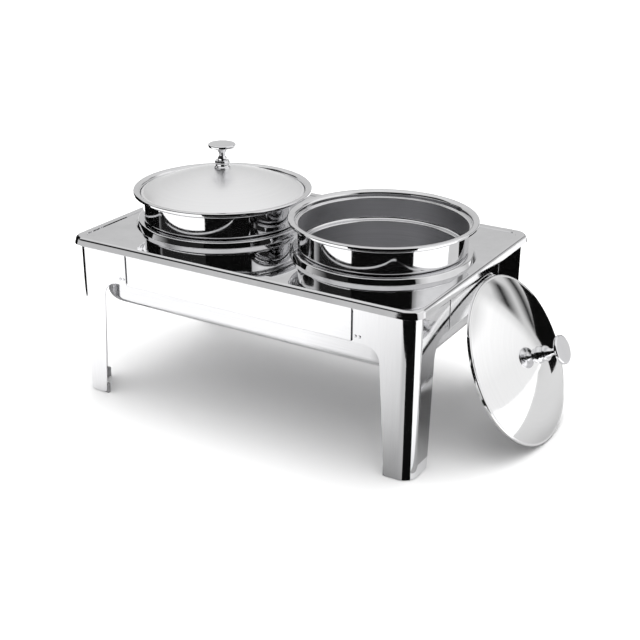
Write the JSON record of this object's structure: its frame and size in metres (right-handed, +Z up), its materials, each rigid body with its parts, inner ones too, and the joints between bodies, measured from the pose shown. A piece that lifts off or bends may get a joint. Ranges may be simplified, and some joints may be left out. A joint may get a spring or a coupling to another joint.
{
  "type": "chafer",
  "caption": "Rectangular polished stand on corner legs with a cover plate, raised wells for round lidded pots over a water pan; one lid seated, one leaning.",
  "frame": {"origin": "floor level under the middle of the whole set's bounding box, leaning lid included", "axes": "+X along the stand's long side towards the end the spare lid leans on, +Y from the front to the rear, +Z up"},
  "size_m": [0.7382, 0.4, 0.3873],
  "materials": {
    "leg_steel": "mirror-polished stainless steel",
    "apron_steel": "mirror-polished stainless steel",
    "cover_steel": "mirror-polished stainless steel",
    "pan_steel": "bright stainless steel",
    "pot_steel": "polished outside, satin inside",
    "lid_steel": "mirror-polished stainless steel",
    "collar_chrome": "polished chrome",
    "knob_chrome": "polished chrome",
    "ledge_steel": "mill-finish stainless steel",
    "bracket_steel": "mill-finish stainless steel",
    "rivet_steel": "bright",
    "washer_steel": "plain",
    "screw_steel": "plain",
    "foot_plastic": "moulded dark grey plastic"
  },
  "bodies": {
    "stand": {"leg_front_left": "leg_steel", "leg_front_right": "leg_steel", "leg_rear_left": "leg_steel", "leg_rear_right": "leg_steel", "bracket_front_left": "bracket_steel", "bracket_front_right": "bracket_steel", "bracket_rear_left": "bracket_steel", "bracket_rear_right": "bracket_steel", "foot_front_left": "foot_plastic", "foot_front_right": "foot_plastic", "foot_rear_left": "foot_plastic", "foot_rear_right": "foot_plastic", "rivets": "rivet_steel", "apron_front": "apron_steel", "apron_rear": "apron_steel", "apron_left": "apron_steel", "apron_right": "apron_steel", "support_ledge": "ledge_steel"},
    "water_pan": {"water_pan": "pan_steel"},
    "cover": {"cover_plate": "cover_steel"},
    "pot_left": {"pot_left": "pot_steel"},
    "pot_right": {"pot_right": "pot_steel"},
    "lid_left": {"lid_left": "lid_steel", "knob_collar_left": "collar_chrome", "knob_left": "knob_chrome", "knob_washer_left": "washer_steel", "knob_screw_left": "screw_steel"},
    "lid_right": {"lid_right": "lid_steel", "knob_collar_right": "collar_chrome", "knob_right": "knob_chrome", "knob_washer_right": "washer_steel", "knob_screw_right": "screw_steel"}
  },
  "joints": [
    {"name": "pan_lift", "type": "slide", "parent": "stand", "child": "water_pan", "axis": [0, 0, 1], "range_m": [0, 0.12]},
    {"name": "cover_lift", "type": "slide", "parent": "water_pan", "child": "cover", "axis": [0, 0, 1], "range_m": [0, 0.12]},
    {"name": "pot_left_lift", "type": "slide", "parent": "cover", "child": "pot_left", "axis": [0, 0, 1], "range_m": [0, 0.1]},
    {"name": "pot_right_lift", "type": "slide", "parent": "cover", "child": "pot_right", "axis": [0, 0, 1], "range_m": [0, 0.1]},
    {"name": "lid_left_lift", "type": "slide", "parent": "pot_left", "child": "lid_left", "axis": [0, 0, 1], "range_m": [0, 0.1]},
    {"name": "lid_right_draw", "type": "slide", "parent": "stand", "child": "lid_right", "axis": [0.8944, -0.0312, 0.4462], "range_m": [0, 0.15]}
  ]
}
